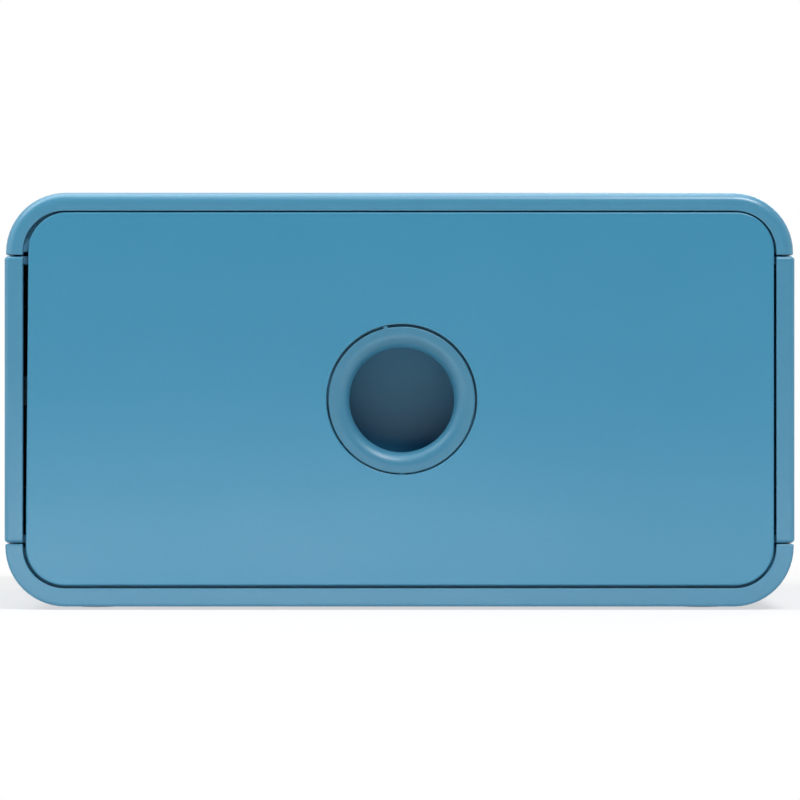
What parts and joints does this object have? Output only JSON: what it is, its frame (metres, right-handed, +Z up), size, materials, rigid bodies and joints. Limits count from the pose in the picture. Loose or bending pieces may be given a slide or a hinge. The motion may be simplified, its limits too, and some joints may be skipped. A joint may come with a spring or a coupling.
{
  "type": "desktop drawer unit",
  "caption": "Low desktop drawer unit in blue plastic: round-cornered casing of shells and side panels, with a flush drawer that slides out by a round finger pull.",
  "frame": {"origin": "centre of the footprint, on the surface that the feet stand on", "axes": "+X to the right seen from the front, +Y to the rear, +Z up; the drawer opens towards -Y"},
  "size_m": [0.25, 0.19, 0.132],
  "materials": {
    "casing_plastic": "satin moulded plastic",
    "drawer_plastic": "satin moulded plastic",
    "pull_plastic": "satin moulded plastic",
    "runner_plastic": "smooth moulded plastic",
    "screw_steel": "zinc-plated",
    "foot_rubber": "matt"
  },
  "bodies": {
    "casing": {"top_shell": "casing_plastic", "bottom_shell": "casing_plastic", "left_side_panel": "casing_plastic", "right_side_panel": "casing_plastic", "back_panel": "casing_plastic", "left_runner": "runner_plastic", "right_runner": "runner_plastic", "front_left_foot": "foot_rubber", "front_right_foot": "foot_rubber", "back_left_foot": "foot_rubber", "back_right_foot": "foot_rubber", "upper_casing_screws": "screw_steel", "lower_casing_screws": "screw_steel", "back_panel_screws": "screw_steel", "runner_screws": "screw_steel"},
    "drawer": {"drawer_tray": "drawer_plastic", "drawer_front": "drawer_plastic", "finger_ring": "pull_plastic", "finger_cup": "pull_plastic", "drawer_front_screws": "screw_steel", "finger_cup_screws": "screw_steel"}
  },
  "joints": [
    {"name": "drawer_slide", "type": "slide", "parent": "casing", "child": "drawer", "axis": [0, -1, 0], "range_m": [0, 0.12]}
  ]
}
